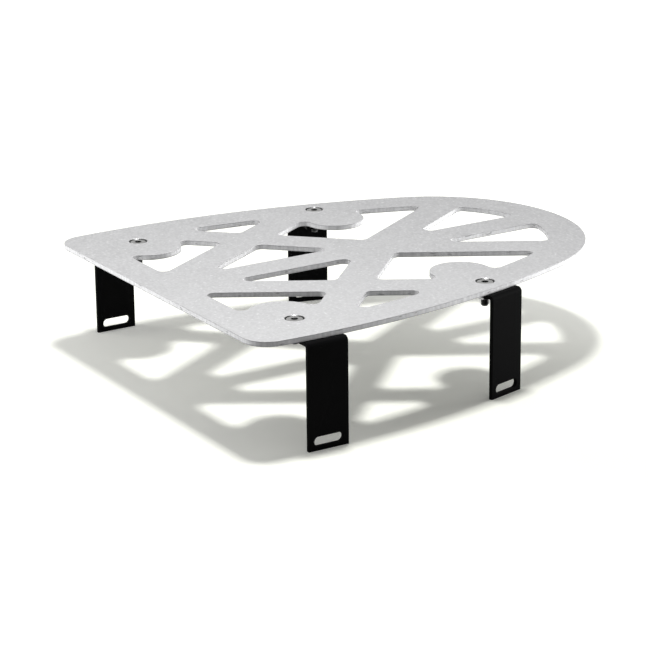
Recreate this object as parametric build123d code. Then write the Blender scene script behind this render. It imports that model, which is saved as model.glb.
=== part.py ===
from build123d import *
import os
from math import acos, asin, atan2, cos, degrees, hypot, radians, sin, tan

# Motorcycle luggage rack: a flat plate with cut-outs on four folded brackets, held by countersunk screws.
# +X runs back along the rack to its rounded tail, -Y is the left side of the motorcycle and +Z is up.
# The origin lies under the middle of the plate, level with the brackets' feet. Sizes are in millimetres.

# Plate outline: a straight front edge, two long side arcs and a round tail.
plate_length = 300.0
front_half_width = 125.0
side_radius = 535.0
tail_radius = 96.5
front_corner_radius = 16.0
plate_thickness = 3.2

# Bars left between the cut-outs. A rib's centre line leaves the plate's centre line at its foot, which is
# given from the front edge for the front rib, and as a setback from the tail for the others.
rim_width = 23.6
front_rim_width = 22.0
spine_width = 21.6
rib_width = 22.4
diagonal_rib_angle = 31.5
cross_rib_angle = 135.0
front_rib_foot = 5.4
rear_rib_setback = 143.0
cross_rib_setback = 136.0
cut_out_corner_radius = 4.5

# Screw places: back from the front edge or forward from the tail, and then in from the plate's side.
front_station = 42.6
rear_setback = 121.8
front_screw_inset = 31.7
rear_screw_inset = 13.1

# Round-ended pads, left in the plate over the brackets' flanges.
front_pad_radius = 20.8
rear_pad_radius = 19.0
front_pad_reach = 13.4
rear_pad_reach = 25.2

# Brackets, each folded from one strip. The same bracket fits at the front and at the rear.
bracket_height = 65.0
bracket_width = 27.0
bracket_thickness = 2.5
bend_inner_radius = 0.5
leg_overhang = 4.5
foot_slot_width = 5.5
foot_slot_side_wall = 3.9
foot_slot_bottom_wall = 2.85
flange_slot_clearance = 1.2
flange_slot_slack = 1.0
flange_end_wall = 4.5

# Countersunk socket screws.
thread_diameter = 5.0
screw_length = 15.0
screw_point = 0.8
head_diameter = 9.8
head_land = 0.7
socket_width = 3.0
socket_depth = 2.0
countersink_diameter = 12.2
screw_hole_clearance = 1.0

# Washers and hexagon nuts. A nut's wall runs from its thread to its flats.
washer_diameter = 15.0
washer_clearance = 0.3
washer_thickness = 1.2
nut_height = 4.0
nut_wall = 1.5
nut_face_margin = 0.2
nut_chamfer_angle = 30.0

# Holes and rings that the thread passes through.
screw_hole_diameter = thread_diameter + screw_hole_clearance
flange_slot_width = thread_diameter + flange_slot_clearance
washer_bore = thread_diameter + washer_clearance
nut_width = thread_diameter + 2 * nut_wall

# Slot in each foot.
foot_slot_length = bracket_width - 2 * foot_slot_side_wall
foot_slot_height = foot_slot_bottom_wall + foot_slot_width / 2

# Places that follow the tail.
rear_rib_foot = plate_length - rear_rib_setback
cross_rib_foot = plate_length - cross_rib_setback
rear_station = plate_length - rear_setback

# Longer than the plate is in any direction, for bars and cutters that run right across it.
across = 4 * plate_length

# Levels of the stack at each screw.
plate_bottom = bracket_height
plate_top = plate_bottom + plate_thickness
flange_bottom = bracket_height - bracket_thickness
washer_bottom = flange_bottom - washer_thickness
nut_bottom = washer_bottom - nut_height

# The 90 degree head meets the countersink along its cone, and so sits a little below the plate's top.
head_cone_diameter = head_diameter + 2 * head_land
head_top = plate_top - (countersink_diameter - head_cone_diameter) / 2

# Centre of the side arc on +Y. The arc starts at the front corner and runs smoothly into the tail arc.
# X is measured from the front edge here, and in every outline below.
tail_centre = plate_length - tail_radius
corner_to_tail = hypot(tail_centre, front_half_width)
centre_to_tail = side_radius - tail_radius
triangle_cosine = (side_radius**2 + corner_to_tail**2 - centre_to_tail**2) / 2 / side_radius / corner_to_tail
corner_direction = atan2(-front_half_width, tail_centre) - acos(triangle_cosine)
side_centre_x = side_radius * cos(corner_direction)
side_centre_y = front_half_width + side_radius * sin(corner_direction)
tail_angle = atan2(tail_centre - side_centre_x, -side_centre_y)


def side_point(angle, radius):
    """Point on a circle about the +Y side arc's centre, at an angle from +Y towards the tail."""
    return (side_centre_x + radius * sin(angle), side_centre_y + radius * cos(angle))


def side_angle(x, radius):
    """Angle at which such a circle passes a distance back from the front edge."""
    return asin((x - side_centre_x) / radius)


def mirrored(point):
    """The same point on the -Y side."""
    return (point[0], -point[1])


def d_shape(front, inset):
    """Face behind a straight front line, bounded by the plate's side and tail arcs moved in by an inset."""
    radius = side_radius - inset
    front_angle = side_angle(front, radius)
    corner = side_point(front_angle, radius)
    middle = side_point((front_angle + tail_angle) / 2, radius)
    joint = side_point(tail_angle, radius)
    tail = (plate_length - inset, 0.0)
    edges = [
        Line(mirrored(corner), corner),
        ThreePointArc(corner, middle, joint),
        ThreePointArc(joint, tail, mirrored(joint)),
        ThreePointArc(mirrored(joint), mirrored(middle), mirrored(corner)),
    ]
    return make_face(edges)


def plate_outline():
    """Outline of the plate, with its two front corners rounded."""
    outline = d_shape(0.0, 0.0)
    front_corners = outline.vertices().sort_by(Axis.X)[:2]
    return fillet(front_corners, front_corner_radius)


def rib(foot, angle, width):
    """Straight bar that crosses the plate's centre line at its foot."""
    return Pos(foot, 0) * Rot(0, 0, angle) * Rectangle(across, width)


def screw_place(station, inset):
    """Centre of a screw on the +Y side."""
    return side_point(side_angle(station, side_radius), side_radius - inset)


front_screw = screw_place(front_station, front_screw_inset)
rear_screw = screw_place(rear_station, rear_screw_inset)


def pad(screw, radius, reach):
    """Tongue with a round end that runs in from the plate's edge, past a screw."""
    end = Pos(screw[0], screw[1] - reach)
    tongue = end * Rectangle(2 * radius, across, align=(Align.CENTER, Align.MIN))
    return tongue + end * Circle(radius)


def half_cut_outs():
    """Cut-outs of the +Y half, each as wide as a round cutter sweeps."""
    # The cutter's centre stays its own radius clear of the rim, the spine, the ribs and the pads.
    cutter = cut_out_corner_radius
    bar = rib_width + 2 * cutter
    field = d_shape(front_rim_width + cutter, rim_width + cutter)
    field -= Pos(0, spine_width / 2 + cutter) * Rectangle(across, across, align=(Align.CENTER, Align.MAX))
    field -= rib(front_rib_foot, diagonal_rib_angle, bar)
    field -= rib(rear_rib_foot, diagonal_rib_angle, bar)
    field -= rib(cross_rib_foot, cross_rib_angle, bar)
    field -= pad(front_screw, front_pad_radius + cutter, front_pad_reach)
    field -= pad(rear_screw, rear_pad_radius + cutter, rear_pad_reach)
    return [offset(path, cutter) for path in field.faces()]


def countersunk_hole():
    """Tool for one screw hole, with its mouth at Z 0."""
    depth = (countersink_diameter - screw_hole_diameter) / 2
    mouth = Cone(
        screw_hole_diameter / 2,
        countersink_diameter / 2,
        depth,
        align=(Align.CENTER, Align.CENTER, Align.MAX),
    )
    return mouth + Cylinder(screw_hole_diameter / 2, across)


def to_rack(x, y, z):
    """Location of a point given from the front edge, in the rack's own frame."""
    return Pos(x - plate_length / 2, y, z)


def rack_plate():
    """The plate, cut out, mirrored about its spine and drilled for four screws."""
    face = plate_outline()
    for opening in half_cut_outs():
        face -= opening
        face -= mirror(opening, Plane.XZ)
    plate = extrude(face, plate_thickness)
    for x, y in (front_screw, rear_screw):
        for side in (1, -1):
            plate -= Pos(x, side * y, plate_thickness) * countersunk_hole()
    return to_rack(0, 0, plate_bottom) * plate


def bracket():
    """Folded bracket. Its leg's outer face lies on Y 0, with the foot on Z 0 and the flange towards -Y."""
    front_reach = front_screw_inset + leg_overhang
    rear_reach = rear_screw_inset + leg_overhang
    slot_start = rear_reach - flange_slot_slack
    slot_end = front_reach + flange_slot_slack
    flange_length = slot_end + flange_slot_width / 2 + flange_end_wall
    section = make_face(
        Polyline(
            (0, 0),
            (0, bracket_height),
            (-flange_length, bracket_height),
            (-flange_length, flange_bottom),
            (-bracket_thickness, flange_bottom),
            (-bracket_thickness, 0),
            close=True,
        )
    )
    outer_corner = section.vertices().sort_by_distance((0, bracket_height))[0]
    section = fillet(outer_corner, bend_inner_radius + bracket_thickness)
    inner_corner = section.vertices().sort_by_distance((-bracket_thickness, flange_bottom))[0]
    section = fillet(inner_corner, bend_inner_radius)
    folded = extrude(Plane.YZ * section, bracket_width / 2, both=True)
    foot_slot = Plane.XZ * Pos(0, foot_slot_height) * SlotOverall(foot_slot_length, foot_slot_width)
    folded -= extrude(foot_slot, 2 * bracket_thickness, both=True)
    flange_slot = Pos(0, -(slot_start + slot_end) / 2, bracket_height) * Rot(0, 0, 90) * SlotCenterToCenter(
        slot_end - slot_start, flange_slot_width
    )
    folded -= extrude(flange_slot, 2 * bracket_thickness, both=True)
    return folded


def screw():
    """Countersunk screw on the Z axis, with the top of its head at Z 0."""
    head = head_diameter / 2
    shank = thread_diameter / 2
    cone_end = -head_land - (head - shank)
    profile = make_face(
        Polyline(
            (0, 0),
            (head, 0),
            (head, -head_land),
            (shank, cone_end),
            (shank, -screw_length + screw_point),
            (shank - screw_point, -screw_length),
            (0, -screw_length),
            close=True,
        )
    )
    turned = revolve(Plane.XZ * profile, Axis.Z)
    socket = extrude(RegularPolygon(socket_width / 2, 6, major_radius=False), -socket_depth)
    return turned - socket


def washer():
    """Flat washer on the Z axis, with its lower face at Z 0."""
    ring = Circle(washer_diameter / 2) - Circle(washer_bore / 2)
    return extrude(ring, washer_thickness)


def nut():
    """Hexagon nut on the Z axis, chamfered at its lower end, with its lower face at Z 0."""
    face_radius = nut_width / 2 - nut_face_margin
    cone_radius = face_radius + nut_height / tan(radians(nut_chamfer_angle))
    upright = (Align.CENTER, Align.CENTER, Align.MIN)
    hexagon = extrude(RegularPolygon(nut_width / 2, 6, major_radius=False), nut_height)
    hexagon &= Cone(face_radius, cone_radius, nut_height, align=upright)
    return hexagon - Cylinder(thread_diameter / 2, nut_height, align=upright)


def corner_pieces(station, inset, side):
    """Bracket, screw, washer and nut of one corner, side 1 for +Y and -1 for -Y."""
    angle = side_angle(station, side_radius)
    leg_x, leg_y = side_point(angle, side_radius + leg_overhang)
    turn = -degrees(angle) if side > 0 else 180 + degrees(angle)
    x, y = screw_place(station, inset)
    return {
        "bracket": to_rack(leg_x, side * leg_y, 0) * Rot(0, 0, turn) * bracket(),
        "screw": to_rack(x, side * y, head_top) * Rot(0, 0, turn) * screw(),
        "washer": to_rack(x, side * y, washer_bottom) * washer(),
        "nut": to_rack(x, side * y, nut_bottom) * Rot(0, 0, turn) * nut(),
    }


corners = {
    "front_left": (front_station, front_screw_inset, -1),
    "front_right": (front_station, front_screw_inset, 1),
    "rear_left": (rear_station, rear_screw_inset, -1),
    "rear_right": (rear_station, rear_screw_inset, 1),
}

os.makedirs("parts", exist_ok=True)
export_step(rack_plate(), "parts/rack_plate.step")
for corner, place in corners.items():
    for piece, solid in corner_pieces(*place).items():
        export_step(solid, f"parts/{corner}_{piece}.step")
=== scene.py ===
from itertools import zip_longest
from math import cos, pi, radians, sin, tan

import bmesh
import bpy
from bpy.props import FloatProperty, FloatVectorProperty, PointerProperty
from bpy.types import NodeSocket, Operator, Panel, PropertyGroup
from mathutils import Matrix, Vector


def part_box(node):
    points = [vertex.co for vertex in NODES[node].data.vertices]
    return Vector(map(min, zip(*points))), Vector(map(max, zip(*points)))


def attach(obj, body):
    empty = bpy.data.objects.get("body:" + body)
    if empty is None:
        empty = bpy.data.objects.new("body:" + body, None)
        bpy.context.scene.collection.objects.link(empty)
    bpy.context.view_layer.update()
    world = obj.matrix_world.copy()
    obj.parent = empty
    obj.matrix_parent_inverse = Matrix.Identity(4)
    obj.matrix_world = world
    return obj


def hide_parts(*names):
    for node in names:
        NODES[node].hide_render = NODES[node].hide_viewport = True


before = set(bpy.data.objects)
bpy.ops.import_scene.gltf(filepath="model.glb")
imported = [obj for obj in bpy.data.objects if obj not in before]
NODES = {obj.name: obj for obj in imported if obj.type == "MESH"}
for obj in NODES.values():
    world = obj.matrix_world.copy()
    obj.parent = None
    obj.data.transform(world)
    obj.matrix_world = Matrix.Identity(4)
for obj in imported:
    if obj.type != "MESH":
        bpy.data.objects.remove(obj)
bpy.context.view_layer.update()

bl_info = {
    "name": "Motorcycle Luggage Rack",
    "version": (1, 0, 0),
    "blender": (4, 5, 0),
    "location": "3D View > Sidebar > Rack",
    "description": "Finishes a cut-out luggage plate, its folded brackets and its fasteners",
    "category": "Object",
}

CORNERS = ("front_left", "front_right", "rear_left", "rear_right")
BODY = "root"

# Points of the frame closer than this are one point.
WELD = 1e-6

# Openings of the plate narrower than this are its screw holes.
WIDEST_HOLE = 0.015

# Faces that meet flatter than these are one flat stretch, one smooth stretch,
# or not an edge to round.
FLAT_ANGLE = radians(0.2)
SMOOTH_ANGLE = radians(20)
EDGE_ANGLE = radians(30)

# Points round a turned piece: a multiple of 12, so that a hexagon's corners fall on points.
RING_STEPS = 48

# Slope of the chamfer on a nut's corners, and the steps down it.
CHAMFER_SLOPE = tan(radians(30))
CHAMFER_STEPS = 6

# Points in one turn of a thread.
THREAD_STEPS = 24

# Half the foot of a thread's ridge, as a share of the pitch: under a half, so that the turns
# stay apart.
RIDGE_SHARE = 0.47

# Point attribute with the turn of a fastener about its axis, and the step from one to the next.
TURN = "turn"
TURN_STEP = radians(37)

# Point attribute that rises to 1 in the depth of a socket or countersink and is lower on a thread.
# It sets how far painted shade darkens each point towards the colour below.
RECESS = "recess"
PAINTED_SHADE_COLOUR = (0.012, 0.012, 0.012)

# A face of the plate is a cut wall where its normal leans up or down by less than this.
WALL_LIMIT = 0.3

# How much less rough a cut wall is than a blasted face.
CUT_POLISH = 0.13

# How far the lightest specks of the blasted faces stand out, in times the speckle.
SPECK_REACH = 2.5

# Stretch of the tool marks up the cut walls, and of the nicks along them.
UPRIGHT = (1, 1, 0.06)
ALONG = (1, 1, 4)

# Middle of the painted shadow in the floor's glow. The glow is white past this reach along
# the rack, and past twice that reach across it.
SHADOW_MIDDLE = (-0.01, -0.12, 0)
SHADOW_SQUEEZE = (1, 0.5, 1)
SHADOW_REACH = 0.6

# Direction of the dim side of the studio, painted on the floor for mirrors only, which the plate's
# cut walls mirror.
DARK_SIDE = (-0.545, -0.839, 0)

# Place of each lamp, the point that it faces, its width and its height.
KEY_LAMP = ((-0.02, 0, 1), (-0.8, -0.15, 0), 0.17, 0.17)
FRONT_LAMP = ((-0.5, 0.4, 0.28), (-0.1, 0, 0.03), 0.4, 0.2)
TAIL_LAMP = ((0.8, -0.1, 0.15), (0.1, 0, 0.03), 0.4, 0.2)

WHITE = (1, 1, 1, 1)


class RackPlateSettings(PropertyGroup):
    """Sizes and finish of the luggage plate"""

    edge_break: FloatProperty(
        name="Edge Break",
        description="Width of the rounding on the plate's deburred edges",
        default=0.00015,
        unit='LENGTH',
        precision=5,
    )
    screw_hole: FloatProperty(
        name="Screw Hole",
        description="Diameter of the screw holes below their countersinks",
        default=0.006,
        unit='LENGTH',
        precision=4,
    )
    face_colour: FloatVectorProperty(
        name="Face Colour",
        description="Colour of the blasted faces",
        default=(0.57, 0.57, 0.574),
        subtype='COLOR',
        min=0,
        max=1,
    )
    cut_colour: FloatVectorProperty(
        name="Cut Colour",
        description="Colour of the cut walls round the plate and in its openings",
        default=(0.71, 0.71, 0.715),
        subtype='COLOR',
        min=0,
        max=1,
    )
    speckle: FloatProperty(
        name="Speckle",
        description="How far the blasted grain lightens and darkens the faces",
        default=0.12,
        subtype='FACTOR',
        min=0,
        max=1,
    )
    tool_marks: FloatProperty(
        name="Tool Marks",
        description="How far the tool marks lighten and darken the cut walls",
        default=0.24,
        subtype='FACTOR',
        min=0,
        max=1,
    )
    dark_lips: FloatProperty(
        name="Dark Lips",
        description="How far the cut walls darken at their upper and lower lips",
        default=0.3,
        subtype='FACTOR',
        min=0,
        max=1,
    )
    nicks: FloatProperty(
        name="Nicks",
        description="How far the nicks darken the cut walls",
        default=0.5,
        subtype='FACTOR',
        min=0,
        max=1,
    )


class RackBracketSettings(PropertyGroup):
    """Sizes and finish of the folded brackets"""

    edge_round: FloatProperty(
        name="Edge Rounding",
        description="Width of the rounding that the coating gives to the sheet's edges",
        default=0.00035,
        unit='LENGTH',
        precision=5,
    )
    coat_colour: FloatVectorProperty(
        name="Coat Colour",
        description="Colour of the powder coating",
        default=(0.0038, 0.0038, 0.0041),
        subtype='COLOR',
        min=0,
        max=1,
    )


class RackFastenerSettings(PropertyGroup):
    """Sizes and finish of the screws, washers and nuts"""

    thread_diameter: FloatProperty(
        name="Thread",
        description="Diameter over the crests of the screw threads",
        default=0.005,
        unit='LENGTH',
        precision=4,
    )
    thread_pitch: FloatProperty(
        name="Pitch",
        description="Distance from one turn of the thread to the next",
        default=0.0008,
        unit='LENGTH',
        precision=5,
    )
    thread_depth: FloatProperty(
        name="Thread Depth",
        description="Height of the thread above the core of the screw",
        default=0.00043,
        unit='LENGTH',
        precision=5,
    )
    # Painted shade on the threads, which lie in the plate's shadow.
    thread_painted_shade: FloatProperty(
        name="Thread Painted Shade",
        description="How far dirt darkens the threads",
        default=0.8,
        subtype='FACTOR',
        min=0,
        max=1,
    )
    head_land: FloatProperty(
        name="Head Land",
        description="Height of the straight rim of the screw heads",
        default=0.0007,
        unit='LENGTH',
        precision=5,
    )
    socket_width: FloatProperty(
        name="Socket Width",
        description="Width across the flats of the hexagon sockets",
        default=0.003,
        unit='LENGTH',
        precision=4,
    )
    socket_mouth: FloatProperty(
        name="Socket Mouth",
        description="Diameter of the cone that leads into the hexagon sockets",
        default=0.0042,
        unit='LENGTH',
        precision=4,
    )
    socket_depth: FloatProperty(
        name="Socket Depth",
        description="Depth of the hexagon sockets",
        default=0.002,
        unit='LENGTH',
        precision=4,
    )
    nut_width: FloatProperty(
        name="Nut Width",
        description="Width across the flats of the nuts",
        default=0.008,
        unit='LENGTH',
        precision=4,
    )
    edge_break: FloatProperty(
        name="Edge Break",
        description="Width of the broken edges of the heads, washers and nuts",
        default=0.00015,
        unit='LENGTH',
        precision=5,
    )
    steel_colour: FloatVectorProperty(
        name="Steel Colour",
        description="Colour of the stainless steel",
        default=(0.60, 0.60, 0.59),
        subtype='COLOR',
        min=0,
        max=1,
    )


class RackStageSettings(PropertyGroup):
    """Camera, floor and lamps"""

    camera_place: FloatVectorProperty(
        name="Camera Place",
        description="Where the camera stands",
        default=(-0.810, -1.259, 0.508),
        subtype='TRANSLATION',
    )
    camera_aim: FloatVectorProperty(
        name="Camera Aim",
        description="Point that the camera looks at",
        default=(-0.0706, -0.0689, 0.0501),
        subtype='TRANSLATION',
    )
    camera_roll: FloatProperty(
        name="Camera Roll",
        description="Turn of the camera about its line of sight",
        default=radians(-0.604),
        subtype='ANGLE',
    )
    lens: FloatProperty(
        name="Lens",
        description="Focal length of the camera",
        default=138.46,
        unit='CAMERA',
    )
    floor_size: FloatProperty(
        name="Floor Size",
        description="Length and width of the floor",
        default=10.0,
        unit='LENGTH',
    )
    floor_colour: FloatVectorProperty(
        name="Floor Colour",
        description="Colour of the matt floor, which shows in the rack's shadow",
        default=(0.95, 0.96, 0.875),
        subtype='COLOR',
        min=0,
        max=1,
    )
    shadow_light: FloatProperty(
        name="Shadow Light",
        description="Light that the floor keeps in the middle of the rack's shadow",
        default=0.05,
        subtype='FACTOR',
        min=0,
        max=1,
    )
    dark_side_light: FloatProperty(
        name="Dark Side Light",
        description="Light of the floor at the dim side of the studio, as metal mirrors it",
        default=0.26,
        subtype='FACTOR',
        min=0,
        max=1,
    )
    mirror_light: FloatProperty(
        name="Mirror Light",
        description="Light of the white studio as metal mirrors it",
        default=0.49,
        subtype='FACTOR',
        min=0,
        max=1,
    )
    ambient: FloatProperty(
        name="Ambient",
        description="Light from all round that reaches matt surfaces",
        default=0.24,
        subtype='FACTOR',
        min=0,
        max=1,
    )
    key_power: FloatProperty(
        name="Key Lamp",
        description="Power of the small lamp above the rack",
        default=10.0,
        unit='POWER',
        min=0,
    )
    front_power: FloatProperty(
        name="Front Lamp",
        description="Power of the wide lamp beside the front edge of the rack",
        default=0.80,
        unit='POWER',
        min=0,
    )
    tail_power: FloatProperty(
        name="Tail Lamp",
        description="Power of the wide lamp beside the tail of the rack",
        default=3.4,
        unit='POWER',
        min=0,
    )


def add_node(tree, kind, inputs=None, **settings):
    """New node in a tree, with its settings and with its inputs set or linked."""
    node = tree.nodes.new(kind)
    for name, value in settings.items():
        setattr(node, name, value)
    for socket, value in (inputs or {}).items():
        if isinstance(value, NodeSocket):
            tree.links.new(value, node.inputs[socket])
        else:
            node.inputs[socket].default_value = value
    return node


def calculate(tree, operation, *values, clamp=False):
    """Output of a Math node on these numbers or sockets."""
    inputs = dict(enumerate(values))
    return add_node(tree, 'ShaderNodeMath', inputs, operation=operation, use_clamp=clamp).outputs[0]


def calculate_vector(tree, operation, *values):
    """Outputs of a Vector Math node on these vectors or sockets."""
    inputs = dict(enumerate(values))
    return add_node(tree, 'ShaderNodeVectorMath', inputs, operation=operation).outputs


def between(tree, factor, low, high):
    """Output that runs evenly from one value to another as the factor goes from 0 to 1."""
    return calculate(tree, 'MULTIPLY_ADD', factor, high - low, low)


def ramp(tree, value, start, end, first=0, last=1):
    """Output that eases from one value to another as the input goes from start to end."""
    return add_node(tree, 'ShaderNodeMapRange', {
        "Value": value,
        "From Min": start,
        "From Max": end,
        "To Min": first,
        "To Max": last,
    }, interpolation_type='SMOOTHSTEP').outputs[0]


def blend(tree, first, second, share):
    """Output made of this share of the first value, and of the second for the rest."""
    rest = calculate(tree, 'MULTIPLY', second, 1 - share)
    return calculate(tree, 'MULTIPLY_ADD', first, share, rest)


def mix_colour(tree, factor, first, second):
    """Output of a colour mix, where each colour is a socket or three numbers."""
    node = add_node(tree, 'ShaderNodeMix', {"Factor": factor}, data_type='RGBA')
    for socket, colour in (("A_Color", first), ("B_Color", second)):
        target = next(item for item in node.inputs if item.identifier == socket)
        if isinstance(colour, NodeSocket):
            tree.links.new(colour, target)
        else:
            target.default_value = (*colour, 1)
    return next(item for item in node.outputs if item.identifier == "Result_Color")


def upward(tree, vector):
    """Output with the Z of a vector."""
    return add_node(tree, 'ShaderNodeSeparateXYZ', {"Vector": vector}).outputs["Z"]


def stretched(tree, vector, scale):
    """Output of coordinates scaled along each axis, which stretches a pattern on them."""
    return add_node(tree, 'ShaderNodeMapping', {"Vector": vector, "Scale": scale}).outputs[0]


def add_noise(tree, vector, scale, detail):
    """Output of a noise pattern, from 0 to 1."""
    inputs = {"Vector": vector, "Scale": scale, "Detail": detail}
    return add_node(tree, 'ShaderNodeTexNoise', inputs).outputs[0]


def new_group(name, kind, inputs, outputs):
    """New node group with named sockets, and the sockets of its input and output nodes."""
    tree = bpy.data.node_groups.new(name, kind)
    for label, socket_type in inputs.items():
        tree.interface.new_socket(label, in_out='INPUT', socket_type=socket_type)
    for label, socket_type in outputs.items():
        tree.interface.new_socket(label, in_out='OUTPUT', socket_type=socket_type)
    given = add_node(tree, 'NodeGroupInput').outputs
    result = add_node(tree, 'NodeGroupOutput').inputs
    return tree, given, result


def grain_group():
    """Shader group: an even grain and a softer cloud, both from 0 to 1."""
    name = "Surface Grain"
    if name in bpy.data.node_groups:
        return bpy.data.node_groups[name]
    inputs = {
        "Vector": 'NodeSocketVector',
        "Grain Scale": 'NodeSocketFloat',
        "Cloud Scale": 'NodeSocketFloat',
    }
    outputs = {"Grain": 'NodeSocketFloat', "Cloud": 'NodeSocketFloat'}
    tree, given, result = new_group(name, 'ShaderNodeTree', inputs, outputs)
    for label, detail in (("Grain", 2), ("Cloud", 3)):
        pattern = add_noise(tree, given["Vector"], given[label + " Scale"], detail)
        tree.links.new(pattern, result[label])
    return tree


def add_grain(tree, vector, grain_scale, cloud_scale):
    """Grain and cloud outputs of the shared group at these scales."""
    inputs = {"Vector": vector, "Grain Scale": grain_scale, "Cloud Scale": cloud_scale}
    node = add_node(tree, 'ShaderNodeGroup', inputs, node_tree=grain_group())
    return node.outputs["Grain"], node.outputs["Cloud"]


def emptied_tree(owner):
    """Node tree of a new material or world, with nothing in it."""
    owner.use_nodes = True
    owner.node_tree.nodes.clear()
    return owner.node_tree


def new_material(name):
    """New material with only a Principled BSDF and its output."""
    material = bpy.data.materials.new(name)
    tree = emptied_tree(material)
    surface = add_node(tree, 'ShaderNodeBsdfPrincipled')
    add_node(tree, 'ShaderNodeOutputMaterial', {"Surface": surface.outputs[0]})
    return material, tree, surface


def add_relief(tree, surface, height, strength, distance):
    """Give a material the fine relief of a pattern."""
    inputs = {"Height": height, "Strength": strength, "Distance": distance}
    bump = add_node(tree, 'ShaderNodeBump', inputs)
    tree.links.new(bump.outputs[0], surface.inputs["Normal"])


def recess_value(tree):
    """Output with the recess attribute of the surface."""
    return add_node(tree, 'ShaderNodeAttribute', attribute_name=RECESS).outputs["Fac"]


def shade(colour, factor):
    """A colour made lighter or darker by a factor."""
    return tuple(min(1, channel * factor) for channel in colour)


def shades(tree, factor, colour, darkest, lightest):
    """Output that goes from the darkest to the lightest shade of a colour with the factor."""
    return mix_colour(tree, factor, shade(colour, darkest), shade(colour, lightest))


def plate_heights():
    """Heights of the plate's lower and upper face."""
    (_, _, bottom), (_, _, top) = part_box("rack_plate")
    return bottom, top


def cut_wall(tree, place, plate):
    """Colour of a cut wall: upright tool marks, darker lips and a few dark nicks."""
    bottom, top = plate_heights()
    thickness = top - bottom
    marks = add_noise(tree, stretched(tree, place, UPRIGHT), scale=560, detail=3)
    marked = shades(tree, marks, plate.cut_colour, 1 - plate.tool_marks, 1 + plate.tool_marks)

    height = calculate(tree, 'SUBTRACT', upward(tree, place), (top + bottom) / 2)
    from_middle = calculate(tree, 'ABSOLUTE', height)
    lip = ramp(tree, from_middle, start=thickness * 0.2, end=thickness * 0.45, last=plate.dark_lips)

    chips = add_noise(tree, stretched(tree, place, ALONG), scale=150, detail=1)
    nick = ramp(tree, chips, start=0.65, end=0.73, last=plate.nicks)
    worn = calculate(tree, 'MAXIMUM', lip, nick)
    darkest = shade(plate.cut_colour, 0.25)
    return mix_colour(tree, worn, marked, darkest)


def blasted_aluminium(plate):
    """Matt blasted faces with a fine speckle, and smoother cut walls."""
    material, tree, surface = new_material("Blasted aluminium")
    place = add_node(tree, 'ShaderNodeTexCoord').outputs
    grain, cloud = add_grain(tree, place["Object"], grain_scale=640, cloud_scale=22)

    strong = ramp(tree, grain, start=0.3, end=0.7)
    spread = blend(tree, strong, cloud, share=0.65)
    even = shades(tree, spread, plate.face_colour, 1 - plate.speckle, 1 + plate.speckle)
    specks = ramp(tree, grain, start=0.665, end=0.745)
    lightest = shade(plate.face_colour, 1 + SPECK_REACH * plate.speckle)
    face = mix_colour(tree, specks, even, lightest)

    wall = cut_wall(tree, place["Object"], plate)
    level = calculate(tree, 'ABSOLUTE', upward(tree, place["Normal"]))
    is_wall = calculate(tree, 'LESS_THAN', level, WALL_LIMIT)
    unshaded = mix_colour(tree, is_wall, face, wall)
    recess = recess_value(tree)
    # Painted shade: the countersinks darken towards their depth.
    painted_shade = ramp(tree, recess, start=0.005, end=0.16, last=0.93)
    tree.links.new(mix_colour(tree, painted_shade, unshaded, PAINTED_SHADE_COLOUR), surface.inputs["Base Color"])

    blasted = between(tree, spread, low=0.65, high=0.85)
    cut = calculate(tree, 'MULTIPLY_ADD', is_wall, -CUT_POLISH, blasted)
    turned = ramp(tree, recess, start=0.04, end=0.1, last=0.48)
    tree.links.new(calculate(tree, 'SUBTRACT', cut, turned), surface.inputs["Roughness"])
    add_relief(tree, surface, grain, strength=0.06, distance=0.0003)
    surface.inputs["Metallic"].default_value = 1
    return material


def powder_coat(bracket):
    """Satin black coating with the low orange peel of baked powder."""
    material, tree, surface = new_material("Black powder coat")
    place = add_node(tree, 'ShaderNodeTexCoord').outputs["Object"]
    grain, cloud = add_grain(tree, place, grain_scale=700, cloud_scale=40)
    colour = shades(tree, cloud, bracket.coat_colour, darkest=0.7, lightest=1.4)
    tree.links.new(colour, surface.inputs["Base Color"])
    tree.links.new(between(tree, cloud, low=0.46, high=0.66), surface.inputs["Roughness"])
    add_relief(tree, surface, grain, strength=0.1, distance=0.0003)
    surface.inputs["Specular IOR Level"].default_value = 0.02
    return material


def stainless_steel(fastener):
    """Bright stainless steel with a fine grain, and painted shade in its sockets and on its
    threads.
    """
    name = "Stainless steel"
    if name in bpy.data.materials:
        return bpy.data.materials[name]
    material, tree, surface = new_material(name)
    place = add_node(tree, 'ShaderNodeTexCoord').outputs["Object"]
    grain, cloud = add_grain(tree, place, grain_scale=2600, cloud_scale=260)
    unshaded = shades(tree, cloud, fastener.steel_colour, darkest=0.8, lightest=1.2)
    # Painted shade in the sockets and on the threads.
    with_painted_shade = mix_colour(tree, recess_value(tree), unshaded, PAINTED_SHADE_COLOUR)
    tree.links.new(with_painted_shade, surface.inputs["Base Color"])
    tree.links.new(between(tree, grain, low=0.2, high=0.4), surface.inputs["Roughness"])
    add_relief(tree, surface, grain, strength=0.08, distance=0.0001)
    surface.inputs["Metallic"].default_value = 1
    return material


def welded_copy(node):
    """Closed shape of a CAD node, with each flat stretch as large faces."""
    shape = bmesh.new()
    shape.from_mesh(NODES[node].data)
    bmesh.ops.remove_doubles(shape, verts=shape.verts, dist=WELD)
    bmesh.ops.dissolve_limit(shape, angle_limit=FLAT_ANGLE, verts=shape.verts, edges=shape.edges)
    return shape


def soften(mesh):
    """Smooth shading that stops at the edges."""
    mesh.shade_smooth()
    mesh.set_sharp_from_angle(angle=SMOOTH_ANGLE)


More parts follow.
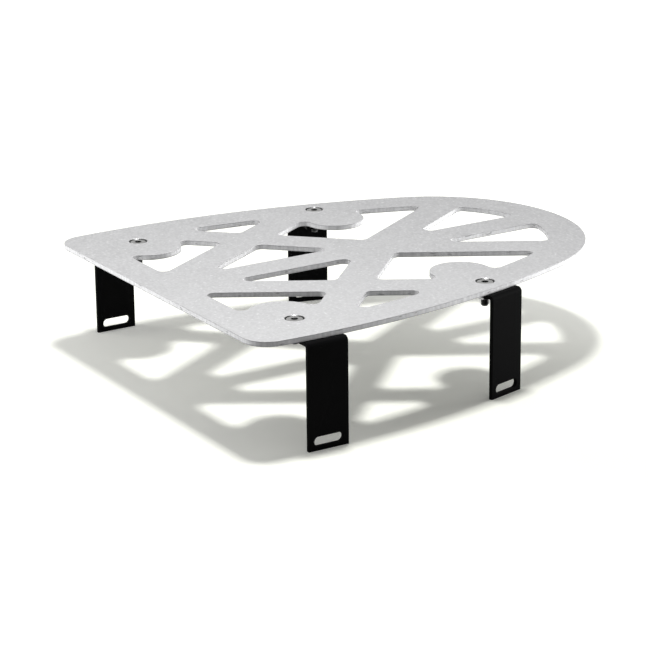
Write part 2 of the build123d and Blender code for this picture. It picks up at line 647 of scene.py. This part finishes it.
def finished_mesh(name, shape):
    """Mesh of a shape, smooth round its curves and sharp at its edges."""
    if not shape.faces:
        raise RuntimeError(f"{name} has no faces")
    mesh = bpy.data.meshes.new(name)
    shape.to_mesh(mesh)
    shape.free()
    soften(mesh)
    return mesh


def place_piece(name, mesh, nodes):
    """Object for a finished mesh, riding on the rack in place of these CAD nodes."""
    piece = bpy.data.objects.new(name, mesh)
    bpy.context.scene.collection.objects.link(piece)
    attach(piece, BODY)
    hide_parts(*nodes)


def empty_shape():
    """Shape without points, which holds a recess value for each point that it gets."""
    shape = bmesh.new()
    shape.verts.layers.float.new(RECESS)
    return shape


def add_ring(shape, points, level):
    """New ring of points in a shape, all at this recess value."""
    recess = shape.verts.layers.float[RECESS]
    ring = [shape.verts.new(point) for point in points]
    for vert in ring:
        vert[recess] = level
    return ring


def join_rings(shape, rings):
    """Wall of faces from each ring to the next, which has as many points."""
    for first, second in zip(rings, rings[1:]):
        for index, vert in enumerate(first):
            shape.faces.new((first[index - 1], second[index - 1], second[index], vert))


def ring_edges(shape, ring):
    """Edges from each point of a ring to the next."""
    return [shape.edges.get((ring[index - 1], vert)) for index, vert in enumerate(ring)]


def is_at(face, height):
    """Whether a face lies flat at this height."""
    return all(abs(vert.co.z - height) < WELD for vert in face.verts)


def flat_rims(shape, height):
    """Loops of points round the flat face at this height, with the plate on the left of each."""
    flat = [face for face in shape.faces if is_at(face, height)]
    following = {}
    for face in flat:
        for corner in face.loops:
            if corner.link_loop_radial_next.face not in flat:
                following[corner.vert] = corner.link_loop_next.vert
    rims = []
    while following:
        start, vert = following.popitem()
        rim = [start.co.xy]
        while vert is not start:
            rim.append(vert.co.xy)
            vert = following.pop(vert)
        rims.append(rim)
    return rims


def inset_rim(rim, inset):
    """The points of a rim moved square into the plate, or out of it where the inset is negative."""
    moved = []
    for before, here, after in zip(rim[-1:] + rim[:-1], rim, rim[1:] + rim[:1]):
        arriving = (here - before).orthogonal().normalized()
        leaving = (after - here).orthogonal().normalized()
        moved.append(here + (arriving + leaving) * inset / (1 + arriving.dot(leaving)))
    return moved


def rim_width(rim):
    """Extent of a rim along X."""
    return max(point.x for point in rim) - min(point.x for point in rim)


def wall_profile(top, bottom, edge):
    """Insets and heights down a wall with both its edges rounded."""
    part = edge * (1 - cos(pi / 4))
    upper = [(edge, top), (part, top - part), (0, top - edge)]
    lower = [(0, bottom + edge), (part, bottom + part), (edge, bottom)]
    return upper + lower


def countersink_profile(top, bottom, edge, depth):
    """Insets and heights down a countersunk hole with its mouth broken."""
    return [(edge, top), (-edge, top - edge), (-depth, top - depth), (-depth, bottom)]


def plate_mesh(plate):
    """Plate with rounded edges and countersunk holes, on the rims of the CAD plate."""
    bottom, top = plate_heights()
    solid = welded_copy("rack_plate")
    rims = flat_rims(solid, top)
    solid.free()

    shape = empty_shape()
    top_edges = []
    bottom_edges = []
    for rim in rims:
        width = rim_width(rim)
        countersunk = width < WIDEST_HOLE
        if countersunk:
            depth = (width - plate.screw_hole) / 2
            profile = countersink_profile(top, bottom, plate.edge_break, depth)
        else:
            profile = wall_profile(top, bottom, plate.edge_break)
        rings = []
        for inset, height in profile:
            # Painted shade in a countersink grows with its depth.
            level = (top - height) / (top - bottom) if countersunk else 0
            points = [(*point, height) for point in inset_rim(rim, inset)]
            rings.append(add_ring(shape, points, level))
        join_rings(shape, rings)
        top_edges += ring_edges(shape, rings[0])
        bottom_edges += ring_edges(shape, rings[-1])
    bmesh.ops.triangle_fill(shape, use_beauty=True, edges=top_edges)
    bmesh.ops.triangle_fill(shape, use_beauty=True, edges=bottom_edges)
    bmesh.ops.recalc_face_normals(shape, faces=shape.faces)
    return finished_mesh("luggage_plate", shape)


def bracket_mesh(node, edge_round):
    """Folded bracket with the edges of its sheet rounded."""
    shape = welded_copy(node)
    bmesh.ops.bevel(
        shape,
        geom=[edge for edge in shape.edges if edge.calc_face_angle(0) > EDGE_ANGLE],
        offset=edge_round,
        offset_type='OFFSET',
        segments=2,
        profile=0.5,
        affect='EDGES',
    )
    return finished_mesh(node + "_coated", shape)


def circle(radius):
    """Rule for a round ring."""
    return lambda angle: radius


def hexagon(half_width):
    """Rule for a hexagonal ring with a flat towards X."""
    return lambda angle: half_width / cos((angle + pi / 6) % (pi / 3) - pi / 6)


def smaller(first, second):
    """Rule for a ring that keeps inside two others."""
    return lambda angle: min(first(angle), second(angle))


def ring_shape(rings, closed, painted_shade=()):
    """Shape through rings of (rule, height), closed on itself or else capped at both ends.

    The painted shade holds a recess value for each ring, and without it none is darkened.
    """
    shape = empty_shape()
    angles = [2 * pi * step / RING_STEPS for step in range(RING_STEPS)]
    loops = []
    for (rule, height), level in zip_longest(rings, painted_shade, fillvalue=0):
        points = [(rule(a) * cos(a), rule(a) * sin(a), height) for a in angles]
        loops.append(add_ring(shape, points, level))
    if closed:
        join_rings(shape, [*loops, loops[0]])
    else:
        join_rings(shape, loops)
        shape.faces.new(loops[0])
        shape.faces.new(loops[-1])
    bmesh.ops.recalc_face_normals(shape, faces=shape.faces)
    return shape


def neck_height(fastener, head):
    """Height, below the top of a screw, at which its head runs into the shank."""
    return -fastener.head_land - (head - fastener.thread_diameter / 2)


def screw_rings(fastener, head, length):
    """Rings of a countersunk screw's core, from the socket to the point, and the painted shade on
    each.
    """
    edge = fastener.edge_break
    socket = fastener.socket_width / 2
    mouth = fastener.socket_mouth / 2
    shank = fastener.thread_diameter / 2
    depth = fastener.thread_depth
    core = shank - depth
    neck = neck_height(fastener, head)
    socket_rings = [
        (hexagon(socket), -fastener.socket_depth),
        (hexagon(socket), (socket - mouth) / 2),
        (circle(mouth), 0),
    ]
    head_rings = [
        (circle(mouth + edge), 0),
        (circle(head - edge), 0),
        (circle(head), -edge),
        (circle(head), -fastener.head_land),
    ]
    thread_rings = [
        (circle(shank), neck),
        (circle(core), neck - depth),
        (circle(core), -length + depth),
        (circle(core - depth), -length),
    ]
    # Painted shade: full in the socket, none on the head, and set by the settings on the thread.
    levels = ((socket_rings, 1), (head_rings, 0), (thread_rings, fastener.thread_painted_shade))
    painted_shade = [level for rings, level in levels for _ in rings]
    return socket_rings + head_rings + thread_rings, painted_shade


def washer_rings(bore, outer, thickness, edge):
    """Rings of a flat washer with broken edges, standing on Z 0."""
    return [
        (circle(bore), edge),
        (circle(bore), thickness - edge),
        (circle(bore + edge), thickness),
        (circle(outer - edge), thickness),
        (circle(outer), thickness - edge),
        (circle(outer), edge),
        (circle(outer - edge), 0),
        (circle(bore + edge), 0),
    ]


def nut_rings(fastener, height):
    """Rings of a hexagon nut with chamfered corners and a broken bore, standing on Z 0."""
    flat = fastener.nut_width / 2
    bore = fastener.thread_diameter / 2
    edge = fastener.edge_break
    corner_depth = (flat / cos(pi / 6) - flat + edge) * CHAMFER_SLOPE
    lower = []
    for step in range(CHAMFER_STEPS + 1):
        depth = corner_depth * step / CHAMFER_STEPS
        chamfer = circle(flat - edge + depth / CHAMFER_SLOPE)
        lower.append((smaller(hexagon(flat), chamfer), depth))
    upper = [(rule, height - depth) for rule, depth in reversed(lower)]
    bore_rings = [
        (circle(bore + edge), height),
        (circle(bore), height - edge),
        (circle(bore), edge),
        (circle(bore + edge), 0),
    ]
    return lower + upper + bore_rings


def end_tree(tree, geometry, material, result):
    """End a tree of geometry nodes in plain faces of one material."""
    whole = add_node(tree, 'GeometryNodeRealizeInstances', {"Geometry": geometry})
    coloured = add_node(tree, 'GeometryNodeSetMaterial', {
        "Geometry": whole.outputs[0],
        "Material": material,
    })
    tree.links.new(coloured.outputs[0], result["Geometry"])


def thread_tree():
    """Geometry nodes: a ridge wound round the core of a screw, carrying its painted shade."""
    inputs = {
        "Geometry": 'NodeSocketGeometry',
        "Core Radius": 'NodeSocketFloat',
        "Depth": 'NodeSocketFloat',
        "Pitch": 'NodeSocketFloat',
        "Top": 'NodeSocketFloat',
        "Bottom": 'NodeSocketFloat',
        "Dirt": 'NodeSocketFloat',
        "Material": 'NodeSocketMaterial',
    }
    outputs = {"Geometry": 'NodeSocketGeometry'}
    tree, given, result = new_group("Screw Thread", 'GeometryNodeTree', inputs, outputs)
    length = calculate(tree, 'SUBTRACT', given["Top"], given["Bottom"])
    spiral = add_node(tree, 'GeometryNodeCurveSpiral', {
        "Resolution": THREAD_STEPS,
        "Rotations": calculate(tree, 'DIVIDE', length, given["Pitch"]),
        "Start Radius": given["Core Radius"],
        "End Radius": given["Core Radius"],
        "Height": length,
        "Reverse": True,
    })
    drop = add_node(tree, 'ShaderNodeCombineXYZ', {"Z": given["Bottom"]})
    lowered = add_node(tree, 'GeometryNodeTransform', {
        "Geometry": spiral.outputs[0],
        "Translation": drop.outputs[0],
    })
    path = {"Curve": lowered.outputs[0]}
    upright = add_node(tree, 'GeometryNodeSetCurveNormal', path, mode='Z_UP')
    half_foot = calculate(tree, 'MULTIPLY', given["Pitch"], RIDGE_SHARE)
    ridge = add_node(tree, 'GeometryNodeCurvePrimitiveQuadrilateral', {
        "Width": calculate(tree, 'MULTIPLY', given["Depth"], 2),
        "Bottom Height": half_foot,
        "Top Height": half_foot,
    }, mode='KITE')
    wound = add_node(tree, 'GeometryNodeCurveToMesh', {
        "Curve": upright.outputs[0],
        "Profile Curve": ridge.outputs[0],
        "Fill Caps": True,
    })
    with_painted_shade = add_node(tree, 'GeometryNodeStoreNamedAttribute', {
        "Geometry": wound.outputs[0],
        "Name": RECESS,
        "Value": given["Dirt"],
    })
    joined = add_node(tree, 'GeometryNodeJoinGeometry')
    tree.links.new(given["Geometry"], joined.inputs[0])
    tree.links.new(with_painted_shade.outputs[0], joined.inputs[0])
    end_tree(tree, joined.outputs[0], given["Material"], result)
    return tree


def set_out_tree():
    """Geometry nodes: one fastener at each of the points, turned by the points' own angle."""
    name = "Set Out Fasteners"
    if name in bpy.data.node_groups:
        return bpy.data.node_groups[name]
    inputs = {
        "Geometry": 'NodeSocketGeometry',
        "Fastener": 'NodeSocketObject',
        "Material": 'NodeSocketMaterial',
    }
    outputs = {"Geometry": 'NodeSocketGeometry'}
    tree, given, result = new_group(name, 'GeometryNodeTree', inputs, outputs)
    shape = add_node(tree, 'GeometryNodeObjectInfo', {"Object": given["Fastener"]})
    angle = add_node(tree, 'GeometryNodeInputNamedAttribute', {"Name": TURN}, data_type='FLOAT')
    turn = add_node(tree, 'ShaderNodeCombineXYZ', {"Z": angle.outputs[0]})
    copies = add_node(tree, 'GeometryNodeInstanceOnPoints', {
        "Points": given["Geometry"],
        "Instance": shape.outputs["Geometry"],
        "Rotation": turn.outputs[0],
    })
    end_tree(tree, copies.outputs[0], given["Material"], result)
    return tree


def run_tree(mesh, tree, values):
    """Plain mesh that a tree of geometry nodes makes from a mesh and these named inputs."""
    host = bpy.data.objects.new(mesh.name, mesh)
    bpy.context.scene.collection.objects.link(host)
    modifier = host.modifiers.new(tree.name, 'NODES')
    modifier.node_group = tree
    for item in tree.interface.items_tree:
        if item.in_out == 'INPUT' and item.name in values:
            modifier[item.identifier] = values[item.name]
    evaluated = host.evaluated_get(bpy.context.evaluated_depsgraph_get())
    made = bpy.data.meshes.new_from_object(evaluated)
    bpy.data.objects.remove(host)
    if not made.polygons:
        raise RuntimeError(f"{tree.name} made no faces")
    return made


def set_out(name, blank, nodes, height, material):
    """One piece with the blank at the axis of each of these nodes, at this height."""
    points = bpy.data.meshes.new(name + "_points")
    places = []
    for node in nodes:
        low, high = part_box(node)
        middle = (Vector(low) + Vector(high)) / 2
        places.append((middle.x, middle.y, height))
    points.from_pydata(places, [], [])
    turns = points.attributes.new(TURN, 'FLOAT', 'POINT')
    for index, item in enumerate(turns.data):
        item.value = TURN_STEP * index
    holder = bpy.data.objects.new(name + "_blank", blank)
    bpy.context.scene.collection.objects.link(holder)
    mesh = run_tree(points, set_out_tree(), {"Fastener": holder, "Material": material})
    bpy.data.objects.remove(holder)
    mesh.name = name
    soften(mesh)
    place_piece(name, mesh, nodes)


def nodes_of(kind):
    """Names of the CAD nodes of one kind, one for each corner."""
    return [f"{corner}_{kind}" for corner in CORNERS]


def upright_size(node):
    """Half width, lowest and highest Z of a CAD node."""
    low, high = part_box(node)
    return (high[0] - low[0]) / 2, low[2], high[2]


class RACK_OT_finish_plate(Operator):
    """Make the luggage plate with deburred edges and its blasted finish"""

    bl_idname = "rack.finish_plate"
    bl_label = "Finish Plate"

    def execute(self, context):
        plate = context.scene.rack_plate
        mesh = plate_mesh(plate)
        mesh.materials.append(blasted_aluminium(plate))
        place_piece("luggage_plate", mesh, ["rack_plate"])
        return {'FINISHED'}


class RACK_OT_coat_brackets(Operator):
    """Make the four folded brackets with rounded edges and a black coating"""

    bl_idname = "rack.coat_brackets"
    bl_label = "Coat Brackets"

    def execute(self, context):
        bracket = context.scene.rack_bracket
        coat = powder_coat(bracket)
        for node in nodes_of("bracket"):
            mesh = bracket_mesh(node, bracket.edge_round)
            mesh.materials.append(coat)
            place_piece(node + "_coated", mesh, [node])
        return {'FINISHED'}


class RACK_OT_set_screws(Operator):
    """Set a threaded countersunk screw in each corner"""

    bl_idname = "rack.set_screws"
    bl_label = "Set Screws"

    def execute(self, context):
        fastener = context.scene.rack_fastener
        steel = stainless_steel(fastener)
        nodes = nodes_of("screw")
        head, bottom, top = upright_size(nodes[0])
        length = top - bottom
        rings, painted_shade = screw_rings(fastener, head, length)
        core = finished_mesh("screw_core", ring_shape(rings, closed=False, painted_shade=painted_shade))
        blank = run_tree(core, thread_tree(), {
            "Core Radius": fastener.thread_diameter / 2 - fastener.thread_depth,
            "Depth": fastener.thread_depth,
            "Pitch": fastener.thread_pitch,
            "Top": neck_height(fastener, head) - fastener.thread_pitch,
            "Bottom": -length + fastener.thread_pitch,
            "Dirt": fastener.thread_painted_shade,
            "Material": steel,
        })
        set_out("screws", blank, nodes, top, steel)
        return {'FINISHED'}


class RACK_OT_set_washers(Operator):
    """Set a flat washer under each bracket's flange"""

    bl_idname = "rack.set_washers"
    bl_label = "Set Washers"

    def execute(self, context):
        fastener = context.scene.rack_fastener
        nodes = nodes_of("washer")
        outer, bottom, top = upright_size(nodes[0])
        bore = fastener.thread_diameter / 2 + fastener.edge_break
        rings = washer_rings(bore, outer, top - bottom, fastener.edge_break)
        blank = finished_mesh("washer_blank", ring_shape(rings, closed=True))
        set_out("washers", blank, nodes, bottom, stainless_steel(fastener))
        return {'FINISHED'}


class RACK_OT_set_nuts(Operator):
    """Set a hexagon nut on each screw"""

    bl_idname = "rack.set_nuts"
    bl_label = "Set Nuts"

    def execute(self, context):
        fastener = context.scene.rack_fastener
        nodes = nodes_of("nut")
        _, bottom, top = upright_size(nodes[0])
        rings = nut_rings(fastener, top - bottom)
        blank = finished_mesh("nut_blank", ring_shape(rings, closed=True))
        set_out("nuts", blank, nodes, bottom, stainless_steel(fastener))
        return {'FINISHED'}


def seen_rays(tree, rays):
    """1 for rays from the camera, a mirror or glass, and 0 for those that light a matt surface."""
    mirrored = calculate(tree, 'ADD', rays["Is Glossy Ray"], rays["Is Transmission Ray"])
    return calculate(tree, 'ADD', rays["Is Camera Ray"], mirrored, clamp=True)


def floor_material(stage):
    """Pale matt floor: white away from the rack, its shadow partly painted, its look in mirrors
    painted.
    """
    material = bpy.data.materials.new("Pale floor")
    tree = emptied_tree(material)
    place = add_node(tree, 'ShaderNodeTexCoord').outputs["Object"]
    rays = add_node(tree, 'ShaderNodeLightPath').outputs
    mirrored = rays["Is Glossy Ray"]

    # Painted shadow: the floor's own glow, seen by the camera and by mirrors, is least at the
    # middle.
    offset = calculate_vector(tree, 'SUBTRACT', place, SHADOW_MIDDLE)["Vector"]
    squeezed = calculate_vector(tree, 'MULTIPLY', offset, SHADOW_SQUEEZE)["Vector"]
    distance = calculate_vector(tree, 'LENGTH', squeezed)["Value"]
    glow = ramp(tree, distance, start=0, end=SHADOW_REACH, first=stage.shadow_light)
    strength = calculate(tree, 'MULTIPLY', glow, seen_rays(tree, rays))
    white = add_node(tree, 'ShaderNodeEmission', {"Color": WHITE, "Strength": strength})
    # Painted reflection: in mirrors the floor's tint is taken out.
    tint = mix_colour(tree, mirrored, stage.floor_colour, [max(stage.floor_colour)] * 3)
    matt = add_node(tree, 'ShaderNodeBsdfDiffuse', {"Color": tint})
    both = add_node(tree, 'ShaderNodeAddShader', {0: matt.outputs[0], 1: white.outputs[0]})

    # Painted reflection: in mirrors only, the floor on the dim side shows this fixed light in place
    # of its own.
    bearing = calculate_vector(tree, 'NORMALIZE', place)["Vector"]
    facing = calculate_vector(tree, 'DOT_PRODUCT', bearing, DARK_SIDE)["Value"]
    dim = calculate(tree, 'MULTIPLY', ramp(tree, facing, start=0.45, end=0.85), mirrored)
    light = {"Color": WHITE, "Strength": stage.dark_side_light}
    painted_dark_side = add_node(tree, 'ShaderNodeEmission', light)
    floor = add_node(tree, 'ShaderNodeMixShader', {0: dim, 1: both.outputs[0], 2: painted_dark_side.outputs[0]})
    add_node(tree, 'ShaderNodeOutputMaterial', {"Surface": floor.outputs[0]})
    return material


def add_floor(scene, stage):
    """Square floor under the rack."""
    half = stage.floor_size / 2
    corners = [(-half, -half, 0), (half, -half, 0), (half, half, 0), (-half, half, 0)]
    mesh = bpy.data.meshes.new("floor")
    mesh.from_pydata(corners, [], [(0, 1, 2, 3)])
    mesh.materials.append(floor_material(stage))
    floor = bpy.data.objects.new("floor", mesh)
    scene.collection.objects.link(floor)


def add_world(scene, stage):
    """World that shows white and lights matt surfaces evenly at a lower level."""
    world = bpy.data.worlds.new("White studio")
    tree = emptied_tree(world)
    rays = add_node(tree, 'ShaderNodeLightPath').outputs
    lit = between(tree, seen_rays(tree, rays), stage.ambient, 1)
    loss = stage.mirror_light - 1
    strength = calculate(tree, 'MULTIPLY_ADD', rays["Is Glossy Ray"], loss, lit)
    white = add_node(tree, 'ShaderNodeBackground', {"Color": WHITE, "Strength": strength})
    add_node(tree, 'ShaderNodeOutputWorld', {"Surface": white.outputs[0]})
    scene.world = world


def aimed(place, aim, roll=0):
    """Matrix of a camera or lamp at a place, looking at a point."""
    turn = (Vector(aim) - Vector(place)).to_track_quat('-Z', 'Y').to_matrix().to_4x4()
    return Matrix.Translation(place) @ turn @ Matrix.Rotation(roll, 4, 'Z')


def add_lamp(scene, name, power, place, aim, width, height):
    """Rectangular lamp that shines from a place to a point."""
    lamp = bpy.data.lights.new(name, 'AREA')
    lamp.shape = 'RECTANGLE'
    lamp.size = width
    lamp.size_y = height
    lamp.energy = power
    holder = bpy.data.objects.new(name, lamp)
    holder.matrix_world = aimed(place, aim)
    scene.collection.objects.link(holder)


def add_camera(scene, stage):
    """Camera at the photograph's viewing angle."""
    camera = bpy.data.cameras.new("camera")
    camera.lens = stage.lens
    holder = bpy.data.objects.new("camera", camera)
    holder.matrix_world = aimed(stage.camera_place, stage.camera_aim, stage.camera_roll)
    scene.collection.objects.link(holder)
    scene.camera = holder


class RACK_OT_set_stage(Operator):
    """Set the floor, the white studio, the lamps and the camera"""

    bl_idname = "rack.set_stage"
    bl_label = "Set Stage"

    def execute(self, context):
        scene = context.scene
        stage = scene.rack_stage
        add_floor(scene, stage)
        add_world(scene, stage)
        add_lamp(scene, "key_lamp", stage.key_power, *KEY_LAMP)
        add_lamp(scene, "front_lamp", stage.front_power, *FRONT_LAMP)
        add_lamp(scene, "tail_lamp", stage.tail_power, *TAIL_LAMP)
        add_camera(scene, stage)
        scene.view_settings.view_transform = 'Standard'
        return {'FINISHED'}


SETTINGS = {
    "rack_plate": RackPlateSettings,
    "rack_bracket": RackBracketSettings,
    "rack_fastener": RackFastenerSettings,
    "rack_stage": RackStageSettings,
}
STEPS = (
    RACK_OT_finish_plate,
    RACK_OT_coat_brackets,
    RACK_OT_set_screws,
    RACK_OT_set_washers,
    RACK_OT_set_nuts,
    RACK_OT_set_stage,
)


class VIEW3D_PT_rack(Panel):
    """Sizes, colours and steps of the luggage rack"""

    bl_idname = "VIEW3D_PT_rack"
    bl_label = "Luggage Rack"
    bl_space_type = 'VIEW_3D'
    bl_region_type = 'UI'
    bl_category = "Rack"

    def draw(self, context):
        for group, settings in SETTINGS.items():
            box = self.layout.box()
            box.label(text=settings.__doc__)
            for name in settings.__annotations__:
                box.prop(getattr(context.scene, group), name)
        for step in STEPS:
            self.layout.operator(step.bl_idname)


def register():
    """Add the settings, the steps and the panel to Blender."""
    for settings in SETTINGS.values():
        bpy.utils.register_class(settings)
    for item in (*STEPS, VIEW3D_PT_rack):
        bpy.utils.register_class(item)
    for group, settings in SETTINGS.items():
        setattr(bpy.types.Scene, group, PointerProperty(type=settings))


def unregister():
    """Take the settings, the steps and the panel out of Blender."""
    for group in SETTINGS:
        delattr(bpy.types.Scene, group)
    for item in (VIEW3D_PT_rack, *reversed(STEPS), *SETTINGS.values()):
        bpy.utils.unregister_class(item)


def main():
    """Build the finished rack on its stage."""
    register()
    bpy.ops.rack.finish_plate()
    bpy.ops.rack.coat_brackets()
    bpy.ops.rack.set_screws()
    bpy.ops.rack.set_washers()
    bpy.ops.rack.set_nuts()
    bpy.ops.rack.set_stage()


if __name__ == "__main__":
    main()
